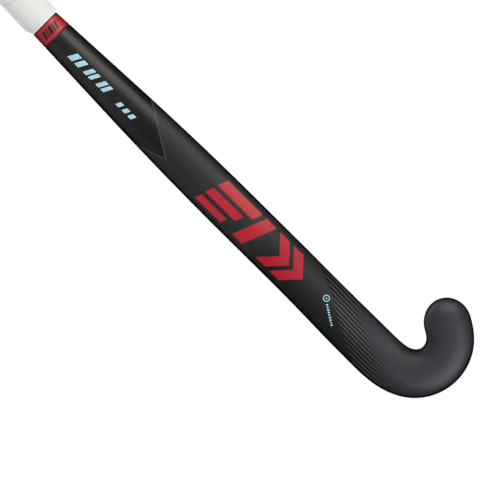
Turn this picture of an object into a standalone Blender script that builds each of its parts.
# Field hockey stick: a moulded composite shaft and hooked head, its inner
# lay-up, its grip, and the transfers on the rounded back.
# Sizes are in millimetres and are scaled to metres as points are placed.
# +Z runs up the shaft to the butt, +X points to the toe and -X to the heel.
# The flat playing face looks along +Y and the rounded back along -Y.
#
# "Height" is unrolled: it equals z on the shaft, and below BEND_TOP it goes on
# down along the hook's centreline. "Across" is measured sideways from the
# centreline, positive on the toe side. "Inset" is inwards from the shell's skin.
import math
from collections import namedtuple

import bmesh
import bpy
import numpy as np

for old_object in list(bpy.data.objects):
    bpy.data.objects.remove(old_object, do_unlink=True)

MM = 0.001
TOLERANCE = 1e-6

# ---------------------------------------------------------------- overall
TOTAL_LENGTH = 927.0      # 36.5 inch stick, head base to butt
X_SHIFT = -33.24          # puts the middle of the box on the Z axis
Y_FACE = 24.06            # plane of the head's flat playing face
Z_SHIFT = 0.779           # lowest point of the head stands on z = 0

# ---------------------------------------------------------------- centreline
BEND_TOP = 87.74          # height where the shaft starts to turn
BEND_RADIUS = 33.72
BEND_EASE_IN = 63.75      # arc over which the turn builds up
BEND_EASE_OUT = 34.6
BEND_ANGLE = 152.93       # how far the toe turns back, degrees
HEAD_RUN = 126.78         # arc from the bend's top to the toe cap's centre
SPINE_STEP = 0.1
SHAFT_LEAN = 0.95         # small set-back of the neck towards the heel
LEAN_BOTTOM, LEAN_RUN = 100.0, 100.0      # the set-back fades out over this run
BOW_START, BOW_PEAK = 75.0, 250.0
BOW_DEPTH = 22.0          # shaft face lies this far behind the head's face
BOW_AT_BUTT = 3.2

# ---------------------------------------------------------------- section
HALF_WIDTH = 23.7         # lower shaft
NECK_SWELL = 0.84         # extra half-width at the bend
SWELL_BOTTOM, SWELL_RUN = 85.0, 90.0
# Arc below the bend's top where a narrowing starts, its run, half-width lost.
HEAD_NARROWING = ((12.0, 36.0, 0.66), (45.0, 40.0, 0.51), (HEAD_RUN - 25.0, 25.0, 0.20))
TAPER_RATE = 0.0437       # half-width lost per mm of height
TAPER_MID, TAPER_BLEND = 342.0, 80.0
HANDLE_BOTTOM, HANDLE_EASE = 530.0, 50.0
HANDLE_START_HALF_WIDTH, HANDLE_HALF_WIDTH = 14.8, 14.0
DEPTH_SHAFT, DEPTH_HANDLE, DEPTH_HEAD, DEPTH_TOE = 21.5, 27.0, 20.6, 19.6
HANDLE_BLEND_BOTTOM, HANDLE_BLEND_RUN = 300.0, 260.0    # shaft to handle section
HEAD_BLEND_TOP, HEAD_BLEND_RUN = 150.0, 80.0            # shaft to head depth
EDGE_DROP_SHAFT, EDGE_DROP_HANDLE = 5.6, 13.0           # front edge, along Y
EDGE_RUN_SHAFT, EDGE_RUN_HANDLE = 5.2, 10.4             # front edge, across
BACK_POWER_SHAFT, BACK_POWER_HANDLE = 2.25, 2.05        # superellipse exponent
TOE_STRETCH = 1.08        # the toe cap is a little longer than round
COLLAR_REBATE = 0.7       # the shaft steps in at the collar and above it

# ---------------------------------------------------------------- lay-up
GAP = 0.3                 # between neighbouring pieces
SHELL_WALL = 1.4
LINER_INSET = SHELL_WALL + GAP
LINER_WALL = 1.2
BORE = LINER_INSET + LINER_WALL + GAP     # inset of the inner space
TUBE_WALL = 1.0
RIB_THICKNESS = 1.2
RIB_FRONT_CLEARANCE = 0.15
TENON_LENGTH = 12.0
TENON_ROOT = 3.0          # how far a tenon is sunk into the head core
TENON_CLEARANCE = 0.5
UNDERLAY_WALL = 1.2
WRAP_WALL = 1.5
WRAP_INSIDE = GAP + UNDERLAY_WALL + GAP   # outwards from the shell's skin
WRAP_OUTSIDE = WRAP_INSIDE + WRAP_WALL
WRAP_THINNING, WRAP_THINNING_RUN, WRAP_THINNING_POWER = 2.1, 8.0, 1.5
COLLAR_WALL = 0.4
FILM_WALL = 0.25
MARK_WALL = 0.15

# ---------------------------------------------------------------- heights
HEAD_CORE_TOP = 118.0
TUBE_TOP = 520.0
COLLAR_BOTTOM, COLLAR_TOP = 510.0, 527.0
UNDERLAY_BOTTOM = 531.0
FOAM_SPLIT = 705.0
FOAM_TOP = 880.0
SPIGOT_BOTTOM = 908.0
SHELL_TOP = 919.8
CAP_TOP = TOTAL_LENGTH - Z_SHIFT

# ---------------------------------------------------------------- facets
EDGE_STEPS = 3            # round each front edge
BACK_STEPS = 5            # on each half of the rounded back
CAP_STEPS = 9             # round the toe
HEAD_STEPS = 18           # sections along the hook

# Heights of the sections that all long pieces share, from the top down.
STATIONS = [
    FOAM_TOP, 790.0, FOAM_SPLIT, 620.0, 580.0, 550.0, UNDERLAY_BOTTOM, COLLAR_TOP,
    TUBE_TOP, COLLAR_BOTTOM, COLLAR_BOTTOM - 0.6, 465.0, 420.0, 375.0, 330.0, 300.0,
    275.0, BOW_PEAK, 230.0, 210.0, 192.0, 175.0, 160.0, 146.0, 132.0, HEAD_CORE_TOP,
    104.0, 94.0,
]
STATIONS += [BEND_TOP - HEAD_RUN * i / HEAD_STEPS for i in range(HEAD_STEPS + 1)]
TOE = STATIONS[-1]

# ---------------------------------------------------------------- finishes
Finish = namedtuple("Finish", "colour roughness")

CARBON = Finish(colour=(0.030, 0.030, 0.029), roughness=0.34)
GLASS_ARAMID = Finish(colour=(0.62, 0.55, 0.26), roughness=0.6)
TUBE_BLACK = Finish(colour=(0.05, 0.05, 0.05), roughness=0.6)
RIB_BLACK = Finish(colour=(0.07, 0.07, 0.065), roughness=0.55)
HEAD_FOAM = Finish(colour=(0.72, 0.60, 0.38), roughness=0.8)
TENON_FOAM = Finish(colour=(0.7, 0.6, 0.4), roughness=0.8)
HANDLE_FOAM = Finish(colour=(0.80, 0.74, 0.55), roughness=0.9)
PLUG_BROWN = Finish(colour=(0.55, 0.38, 0.20), roughness=0.7)
CAP_GREY = Finish(colour=(0.62, 0.62, 0.60), roughness=0.6)
UNDERLAY_GREY = Finish(colour=(0.25, 0.25, 0.25), roughness=0.9)
WRAP_WHITE = Finish(colour=(0.78, 0.79, 0.75), roughness=0.75)
TAPE_RED = Finish(colour=(0.55, 0.03, 0.045), roughness=0.3)
RED = Finish(colour=(0.50, 0.022, 0.040), roughness=0.4)
BLUE = Finish(colour=(0.32, 0.62, 0.80), roughness=0.4)
GREY = Finish(colour=(0.14, 0.14, 0.14), roughness=0.5)
PINSTRIPE = Finish(colour=(0.075, 0.075, 0.08), roughness=0.45)
MARK_BLACK = Finish(colour=(0.02, 0.02, 0.02), roughness=0.5)


# ======================================================== form of the stick
def ease(t):
    """Smooth step from 0 to 1, held flat outside that range."""
    t = min(1.0, max(0.0, t))
    return t * t * (3.0 - 2.0 * t)


def mix(start, end, t):
    return start + (end - start) * t


def make_spine():
    """Rows of x, z and turn along the hook: curvature builds up, holds, lets go."""
    hold = math.radians(BEND_ANGLE) * BEND_RADIUS - (BEND_EASE_IN + BEND_EASE_OUT) / 2.0
    ease_out_start = BEND_EASE_IN + hold
    x, z, turn = -SHAFT_LEAN, BEND_TOP, 0.0
    rows = [(x, z, turn)]
    for i in range(round(HEAD_RUN / SPINE_STEP) + 2):
        arc = (i + 0.5) * SPINE_STEP
        if arc < BEND_EASE_IN:
            share = ease(arc / BEND_EASE_IN)
        else:
            share = 1.0 - ease((arc - ease_out_start) / BEND_EASE_OUT)
        step_turn = share / BEND_RADIUS * SPINE_STEP
        middle = turn + step_turn / 2.0
        x += math.sin(middle) * SPINE_STEP
        z -= math.cos(middle) * SPINE_STEP
        turn += step_turn
        rows.append((x, z, turn))
    return np.array(rows)


SPINE = make_spine()
SPINE_ARC = np.arange(len(SPINE)) * SPINE_STEP


def bow(z):
    """How far the shaft's face lies behind the head's face."""
    if z <= BOW_PEAK:
        return BOW_DEPTH * ease((z - BOW_START) / (BOW_PEAK - BOW_START))
    t = (z - BOW_PEAK) / (TOTAL_LENGTH - BOW_PEAK)
    return mix(BOW_AT_BUTT, BOW_DEPTH, 1.0 - t * t)


def half_width_at(height):
    if height > HANDLE_BOTTOM:
        return mix(HANDLE_START_HALF_WIDTH, HANDLE_HALF_WIDTH,
                   ease((height - HANDLE_BOTTOM) / HANDLE_EASE))
    if height < BEND_TOP:
        arc = BEND_TOP - height
        lost = sum(loss * ease((arc - start) / run) for start, run, loss in HEAD_NARROWING)
        return HALF_WIDTH + NECK_SWELL - lost
    width = HALF_WIDTH + NECK_SWELL * (1.0 - ease((height - SWELL_BOTTOM) / SWELL_RUN))
    rise = height - (TAPER_MID - TAPER_BLEND)
    if rise > 2.0 * TAPER_BLEND:
        width -= TAPER_RATE * (rise - TAPER_BLEND)
    elif rise > 0.0:
        width -= TAPER_RATE * rise * rise / (4.0 * TAPER_BLEND)
    if height >= COLLAR_BOTTOM - TOLERANCE:
        width -= COLLAR_REBATE
    return width


# x, y, z: middle of the playing face; turn: angle of the hook there.
Section = namedtuple(
    "Section", "x y z turn half_width depth edge_drop edge_run back_power")


def section_at(height):
    handle = ease((height - HANDLE_BLEND_BOTTOM) / HANDLE_BLEND_RUN)
    depth = mix(DEPTH_SHAFT, DEPTH_HANDLE, handle)
    depth -= (DEPTH_SHAFT - DEPTH_HEAD) * ease((HEAD_BLEND_TOP - height) / HEAD_BLEND_RUN)
    if height >= BEND_TOP:
        x = -SHAFT_LEAN * (1.0 - ease((height - LEAN_BOTTOM) / LEAN_RUN))
        z, turn = height, 0.0
        if height >= COLLAR_BOTTOM - TOLERANCE:
            depth -= COLLAR_REBATE
    else:
        arc = BEND_TOP - height
        x, z, turn = (float(np.interp(arc, SPINE_ARC, column)) for column in SPINE.T)
        depth -= (DEPTH_HEAD - DEPTH_TOE) * ease(arc / HEAD_RUN)
    return Section(
        x=x,
        y=-bow(z) if height > BOW_START else 0.0,
        z=z,
        turn=turn,
        half_width=half_width_at(height),
        depth=depth,
        edge_drop=mix(EDGE_DROP_SHAFT, EDGE_DROP_HANDLE, handle),
        edge_run=mix(EDGE_RUN_SHAFT, EDGE_RUN_HANDLE, handle),
        back_power=mix(BACK_POWER_SHAFT, BACK_POWER_HANDLE, handle),
    )


def half_profile(section, inset):
    """(across, offset along Y) from the middle of the face round the toe side to
    the middle of the back."""
    run, drop = section.edge_run - inset, section.edge_drop - inset
    width, depth = section.half_width - inset, section.depth - 2.0 * inset
    flat = width - run
    points = [(0.0, -inset), (flat, -inset)]
    for i in range(1, EDGE_STEPS):
        t = math.pi / 2.0 * i / EDGE_STEPS
        points.append((flat + run * math.sin(t), -inset - drop * (1.0 - math.cos(t))))
    power = 2.0 / section.back_power
    for i in range(BACK_STEPS):
        t = math.pi / 2.0 * i / BACK_STEPS
        points.append((width * math.cos(t) ** power,
                       -inset - drop - (depth - drop) * math.sin(t) ** power))
    points.append((0.0, -inset - depth))
    return points


def world(section, across, offset, along=0.0):
    """Scene point in metres; along runs on down the centreline."""
    cosine, sine = math.cos(section.turn), math.sin(section.turn)
    x = section.x + cosine * across + sine * along
    z = section.z + sine * across - cosine * along
    return ((x + X_SHIFT) * MM, (section.y + offset + Y_FACE) * MM, (z + Z_SHIFT) * MM)


def full_ring(height, inset):
    section = section_at(height)
    half = half_profile(section, inset)
    heel_half = [(-across, offset) for across, offset in half[1:-1]]
    return [world(section, *point) for point in half + heel_half[::-1]]


def full_rings(heights, inset):
    return [full_ring(height, inset) for height in heights]


def tube_ring(height, side, wall):
    """Half of the bore, squared off beside the rib; side is 1 for toe, -1 for heel."""
    section = section_at(height)
    near = RIB_THICKNESS / 2.0 + GAP + wall
    half = half_profile(section, BORE + wall)
    last_across, last_offset = half[-2]
    back = mix(last_offset, half[-1][1], (last_across - near) / last_across)
    points = [(near, half[0][1])] + half[1:-1] + [(near, back)]
    return [world(section, side * across, offset) for across, offset in points]


def between(top, bottom):
    """The shared stations from top down to bottom, with both ends."""
    inner = [height for height in STATIONS if bottom + TOLERANCE < height < top - TOLERANCE]
    return [top] + inner + [bottom]


# ======================================================== mesh helpers
def make_material(name, finish):
    material = bpy.data.materials.new(name)
    material.use_nodes = True
    shader = material.node_tree.nodes["Principled BSDF"]
    shader.inputs["Base Color"].default_value = (*finish.colour, 1.0)
    shader.inputs["Roughness"].default_value = finish.roughness
    return material


def new_object(name, bm, finish, smooth=True):
    bmesh.ops.recalc_face_normals(bm, faces=bm.faces[:])
    mesh = bpy.data.meshes.new(name)
    bm.to_mesh(mesh)
    bm.free()
    mesh.materials.append(make_material(name + "_mat", finish))
    for polygon in mesh.polygons:
        polygon.use_smooth = smooth
    created = bpy.data.objects.new(name, mesh)
    bpy.context.scene.collection.objects.link(created)
    return created


def bridge(bm, first, second):
    for i in range(len(first)):
        j = (i + 1) % len(first)
        bm.faces.new((first[i], first[j], second[j], second[i]))


def loft(bm, rings):
    """Walls through a list of rings of points; returns the vertex loops."""
    loops = [[bm.verts.new(point) for point in ring] for ring in rings]
    for upper, lower in zip(loops, loops[1:]):
        bridge(bm, upper, lower)
    return loops


def solid(name, rings, finish, smooth=True):
    bm = bmesh.new()
    loops = loft(bm, rings)
    bm.faces.new(loops[0])
    bm.faces.new(loops[-1])
    return new_object(name, bm, finish, smooth)


def pipe(name, outer_rings, inner_rings, finish):
    bm = bmesh.new()
    outer = loft(bm, outer_rings)
    inner = loft(bm, inner_rings)
    bridge(bm, outer[0], inner[0])
    bridge(bm, outer[-1], inner[-1])
    return new_object(name, bm, finish)


def toe_cap(bm, last, inset):
    """Turn the half section about the toe's centre to close the hook."""
    section = section_at(TOE)
    half = half_profile(section, inset)
    count = len(half)
    front, back = last[0], last[count - 1]
    rows = [last[1:count - 1]]
    for i in range(1, CAP_STEPS):
        t = math.pi * i / CAP_STEPS
        rows.append([bm.verts.new(world(section, across * math.cos(t), offset,
                                        across * math.sin(t) * TOE_STRETCH))
                     for across, offset in half[1:-1]])
    rows.append(last[:count - 1:-1])
    for row, following in zip(rows, rows[1:]):
        bm.faces.new((front, row[0], following[0]))
        for i in range(count - 3):
            bm.faces.new((row[i], row[i + 1], following[i + 1], following[i]))
        bm.faces.new((row[-1], back, following[-1]))


def hook_skin(bm, top, inset):
    """Skin from top down round the hook, closed at the toe; returns its top loop."""
    loops = loft(bm, full_rings(between(top, TOE), inset))
    toe_cap(bm, loops[-1], inset)
    return loops[0]


def hollow_hook(name, inset, wall, finish):
    """Thin-walled skin of the whole stick, open at the butt."""
    bm = bmesh.new()
    outer_top = hook_skin(bm, SHELL_TOP, inset)
    inner_top = hook_skin(bm, SHELL_TOP, inset + wall)
    bridge(bm, outer_top, inner_top)
    return new_object(name, bm, finish)


# ======================================================== shell and core
def core_tube(name, side):
    heights = between(TUBE_TOP, HEAD_CORE_TOP + GAP)
    outer, inner = ([tube_ring(height, side, wall) for height in heights]
                    for wall in (0.0, TUBE_WALL))
    pipe(name, outer, inner, TUBE_BLACK)


def centre_rib():
    """Web between the two tubes."""
    half = RIB_THICKNESS / 2.0
    rings = []
    for height in between(TUBE_TOP, HEAD_CORE_TOP + GAP):
        section = section_at(height)
        front = -BORE - RIB_FRONT_CLEARANCE
        back = -(section.depth - BORE) + GAP
        corners = ((half, front), (half, back), (-half, back), (-half, front))
        rings.append([world(section, *corner) for corner in corners])
    solid("centre_rib", rings, RIB_BLACK, smooth=False)


def head_core():
    """Foam head core, with a tenon up into the bore of each tube."""
    bm = bmesh.new()
    bm.faces.new(hook_skin(bm, HEAD_CORE_TOP, BORE))
    core = new_object("head_core", bm, HEAD_FOAM)
    tenons = []
    for label, side in (("toe", 1.0), ("heel", -1.0)):
        ends = (HEAD_CORE_TOP + TENON_LENGTH, HEAD_CORE_TOP - TENON_ROOT)
        rings = [tube_ring(height, side, TUBE_WALL + TENON_CLEARANCE) for height in ends]
        tenon = solid("tenon_cutter_" + label, rings, TENON_FOAM)
        tenon.hide_render = True
        union = core.modifiers.new("join_" + label, "BOOLEAN")
        union.operation = "UNION"
        union.solver = "EXACT"
        union.object = tenon
        tenons.append(tenon)
    depsgraph = bpy.context.evaluated_depsgraph_get()
    joined = bpy.data.meshes.new_from_object(core.evaluated_get(depsgraph))
    core.modifiers.clear()
    core.data = joined
    for tenon in tenons:
        bpy.data.objects.remove(tenon, do_unlink=True)


def bore_filling(name, top, bottom, finish):
    solid(name, full_rings(between(top, bottom), BORE), finish)


hollow_hook("carbon_shell", 0.0, SHELL_WALL, CARBON)
hollow_hook("glass_aramid_liner", LINER_INSET, LINER_WALL, GLASS_ARAMID)
core_tube("toe_side_core_tube", 1.0)
core_tube("heel_side_core_tube", -1.0)
centre_rib()
head_core()
bore_filling("lower_handle_foam", FOAM_SPLIT - GAP, TUBE_TOP + GAP, HANDLE_FOAM)
bore_filling("upper_handle_foam", FOAM_TOP - GAP, FOAM_SPLIT, HANDLE_FOAM)
bore_filling("butt_plug", SPIGOT_BOTTOM - GAP, FOAM_TOP, PLUG_BROWN)


# ======================================================== grip and butt
def end_cap():
    """Spigot in the bore with a flange over the butt."""
    flange = SHELL_TOP + GAP
    # height, inset
    steps = (
        (SPIGOT_BOTTOM, BORE + 0.6),
        (SPIGOT_BOTTOM + 1.0, BORE),
        (flange, BORE),
        (flange, -WRAP_OUTSIDE + 0.3),
        (CAP_TOP - 1.6, -WRAP_OUTSIDE + 0.3),
        (CAP_TOP - 0.4, -WRAP_OUTSIDE + 1.0),
        (CAP_TOP, -WRAP_OUTSIDE + 2.2),
    )
    # Above the shell's top the cap goes straight up with the section there.
    rings = [[(x, y, (height + Z_SHIFT) * MM)
              for x, y, _ in full_ring(min(height, SHELL_TOP), inset)]
             for height, inset in steps]
    solid("end_cap", rings, CAP_GREY, smooth=False)


def sleeve(name, heights, lift, wall, finish):
    """Even-walled sleeve, lifted off the shell's skin."""
    pipe(name, full_rings(heights, -lift - wall), full_rings(heights, -lift), finish)


def grip_wrap():
    """Wrap that thins towards the collar and steps in below the underlay."""
    step = UNDERLAY_BOTTOM - 0.5
    heights = between(SHELL_TOP, 535.0) + [step + 0.1, step - 0.2, 529.0, COLLAR_TOP + GAP]
    outer, inner = [], []
    for height in heights:
        nearness = 1.0 - ease((height - COLLAR_TOP) / WRAP_THINNING_RUN)
        thinning = WRAP_THINNING * nearness ** WRAP_THINNING_POWER
        outer.append(full_ring(height, -WRAP_OUTSIDE + thinning))
        inner.append(full_ring(height, -WRAP_INSIDE if height > step else -GAP))
    pipe("grip_wrap", outer, inner, WRAP_WHITE)


end_cap()
sleeve("grip_underlay", between(SHELL_TOP, UNDERLAY_BOTTOM), GAP, UNDERLAY_WALL,
       UNDERLAY_GREY)
grip_wrap()
sleeve("collar_tape", between(COLLAR_TOP, COLLAR_BOTTOM + GAP), GAP, COLLAR_WALL, TAPE_RED)


# ======================================================== transfers
def back_point(height, across, lift):
    """A point lifted square off the rounded back."""
    section = section_at(height)
    power = section.back_power
    width, rise = section.half_width, section.depth - section.edge_drop
    share = min(0.999, abs(across) / width)
    bulge = rise * (1.0 - share ** power) ** (1.0 / power)
    slope_across = math.copysign(share ** (power - 1.0) / width, across)
    slope_back = (bulge / rise) ** (power - 1.0) / rise
    size = math.hypot(slope_across, slope_back)
    return world(section, across + lift * slope_across / size,
                 -section.edge_drop - bulge - lift * slope_back / size)


def mix_points(start, end, t):
    return [mix(a, b, t) for a, b in zip(start, end)]


def film(name, edge, other_edge, along, wide, finish, closed=False,
         lift=GAP, wall=FILM_WALL):
    """A strip lying on the back between two lines of (height, across) points,
    with `along` facets per span and `wide` facets from edge to edge."""
    count = len(edge)
    cuts = []
    for i in range(count if closed else count - 1):
        j = (i + 1) % count
        for k in range(along):
            t = k / along
            cuts.append((mix_points(edge[i], edge[j], t),
                         mix_points(other_edge[i], other_edge[j], t)))
    if not closed:
        cuts.append((edge[-1], other_edge[-1]))
    bm = bmesh.new()
    low, high = ([[bm.verts.new(back_point(*mix_points(start, end, k / wide), level))
                   for k in range(wide + 1)]
                  for start, end in cuts]
                 for level in (lift, lift + wall))
    count = len(cuts)
    for i in range(count if closed else count - 1):
        j = (i + 1) % count
        for k in range(wide):
            bm.faces.new((high[i][k], high[i][k + 1], high[j][k + 1], high[j][k]))
            bm.faces.new((low[i][k], low[j][k], low[j][k + 1], low[i][k + 1]))
        for k in (0, wide):
            bm.faces.new((low[i][k], low[j][k], high[j][k], high[i][k]))
    if not closed:
        for i in (0, count - 1):
            for k in range(wide):
                bm.faces.new((low[i][k], low[i][k + 1], high[i][k + 1], high[i][k]))
    new_object(name, bm, finish)


def bar(name, top, bottom, heel_edge, toe_edge, slant, finish, along, wide):
    """A bar whose ends slant up towards the heel; top and bottom are its heights
    at the toe-side edge."""
    climb = slant * (toe_edge - heel_edge)
    film(name, [(top + climb, heel_edge), (bottom + climb, heel_edge)],
         [(top, toe_edge), (bottom, toe_edge)], along, wide, finish)


# Red bars and chevrons
RED_HEEL_EDGE, RED_TOE_EDGE = -17.2, 17.0
RED_SLANT = 0.40
RED_STRIPES = (           # place, top, bottom, heel-side edge, toe-side edge
    ("toe_side", 293.5, 246.5, 6.4, RED_TOE_EDGE),
    ("middle", 298.6, 258.0, -6.4, 2.2),
    ("heel_side", 302.6, 268.0, RED_HEEL_EDGE, -10.6),
)
CHEVRON_THICKNESS = 13.0
CHEVRON_RAKE = 16.0       # rise from the tip to either end
CHEVRON_TIP_ACROSS = -0.1


def chevron(name, tip):
    """A V that points down the shaft; tip is the height of its lowest point."""
    lower = [(tip + CHEVRON_RAKE, RED_HEEL_EDGE), (tip, CHEVRON_TIP_ACROSS),
             (tip + CHEVRON_RAKE, RED_TOE_EDGE)]
    upper = [(height + CHEVRON_THICKNESS, across) for height, across in lower]
    film(name, upper, lower, 4, 2, RED)


for place, top, bottom, heel_edge, toe_edge in RED_STRIPES:
    bar("red_stripe_" + place, top, bottom, heel_edge, toe_edge, RED_SLANT, RED,
        along=4, wide=2)
bar("red_slash", 241.0, 227.5, RED_HEEL_EDGE, RED_TOE_EDGE, RED_SLANT, RED,
    along=2, wide=8)
chevron("red_chevron_upper", 193.8)
chevron("red_chevron_lower", 175.0)

# Blue slashes and the short ticks below them
BLUE_HEEL_EDGE = -7.4
BLUE_SLASHES = ((484.0, 469.0), (463.0, 452.0), (446.0, 435.0))     # top, bottom
BLUE_TICK_TOPS = (421.0, 412.5, 404.5)
BLUE_TICK_LENGTH = 4.6

for number, (top, bottom) in enumerate(BLUE_SLASHES, start=1):
    bar("blue_slash_%d" % number, top, bottom, BLUE_HEEL_EDGE, 1.6, 0.55, BLUE,
        along=1, wide=3)
for number, top in enumerate(BLUE_TICK_TOPS, start=1):
    bar("blue_tick_%d" % number, top, top - BLUE_TICK_LENGTH, BLUE_HEEL_EDGE, -2.2, 0.5,
        BLUE, along=1, wide=2)

# Badge: a small ring and a line running down from it towards the heel
BADGE_CENTRE = (145.7, 3.4)
BADGE_INNER_RADIUS, BADGE_OUTER_RADIUS = 2.3, 3.6
BADGE_SEGMENTS = 14


def badge_circle(radius):
    angles = [2 * math.pi * i / BADGE_SEGMENTS for i in range(BADGE_SEGMENTS)]
    return [(BADGE_CENTRE[0] + radius * math.cos(angle),
             BADGE_CENTRE[1] + radius * math.sin(angle)) for angle in angles]


film("badge_ring", badge_circle(BADGE_INNER_RADIUS), badge_circle(BADGE_OUTER_RADIUS),
     1, 1, BLUE, closed=True)
film("badge_line", [(140.6, -1.2), (122.0, -12.6)], [(142.0, 1.0), (123.4, -10.4)],
     4, 1, BLUE)

# Thin V line across the shaft
V_HEIGHT, V_ACROSS = 350.7, -11.2
V_HALF_THICKNESS = 1.7
film("panel_line",
     [(400.0, 18.4), (V_HEIGHT + V_HALF_THICKNESS, V_ACROSS), (376.0, -18.6)],
     [(397.4, 19.0), (V_HEIGHT - V_HALF_THICKNESS, V_ACROSS), (372.9, -19.0)],
     8, 1, GREY)

# Broad slanted patch round the neck: across, upper height, lower height
PINSTRIPE_OUTLINE = (
    (20.0, 172.0, 108.0), (15.0, 155.0, 102.0), (9.6, 143.0, 95.0), (2.4, 133.0, 84.0),
    (-3.3, 124.0, 72.0), (-13.0, 108.0, 60.0), (-19.6, 92.0, 56.0),
)
film("pinstripe_transfer",
     [(upper, across) for across, upper, _ in PINSTRIPE_OUTLINE],
     [(lower, across) for across, _, lower in PINSTRIPE_OUTLINE],
     2, 6, PINSTRIPE)

# Small slanted bar over the collar tape
MARK_BOTTOM, MARK_HEIGHT, MARK_RISE, MARK_HALF_LENGTH = 515.0, 4.0, 3.0, 7.5
mark_lower = [(MARK_BOTTOM, -MARK_HALF_LENGTH), (MARK_BOTTOM + MARK_RISE, MARK_HALF_LENGTH)]
mark_upper = [(height + MARK_HEIGHT, across) for height, across in mark_lower]
film("collar_mark", mark_lower, mark_upper, 4, 1, MARK_BLACK,
     lift=COLLAR_WALL + 2.0 * GAP, wall=MARK_WALL)
